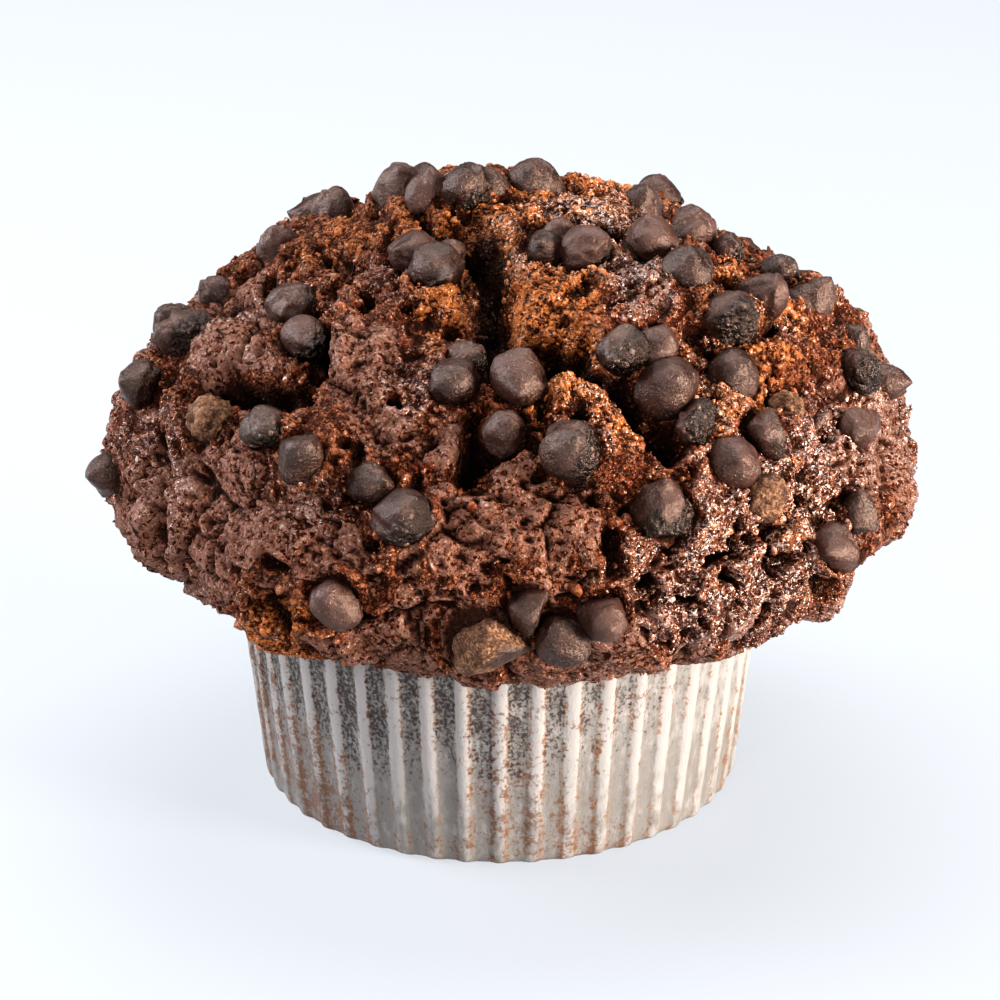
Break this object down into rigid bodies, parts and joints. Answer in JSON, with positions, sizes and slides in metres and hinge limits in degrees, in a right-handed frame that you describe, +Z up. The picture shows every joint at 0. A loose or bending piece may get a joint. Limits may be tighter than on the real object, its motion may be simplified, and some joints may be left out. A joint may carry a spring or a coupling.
{
  "type": "muffin",
  "caption": "Double chocolate muffin with a wide craggy crown, chocolate chips baked into its crust and a pleated paper case.",
  "frame": {"origin": "centre of the paper case's flat base, on the surface it rests on", "axes": "+Z up through the crown, -Y the side seen from the front, +X to the right of that view"},
  "size_m": [0.0873, 0.0908, 0.0678],
  "materials": {
    "crumb": "baked chocolate crumb and crust, matt with a few glossy spots; stands in for food",
    "paper": "thin white greaseproof paper, stained by the crumb behind it"
  },
  "bodies": {
    "root": {"cake": "crumb", "paper_case": "paper"}
  },
  "joints": []
}
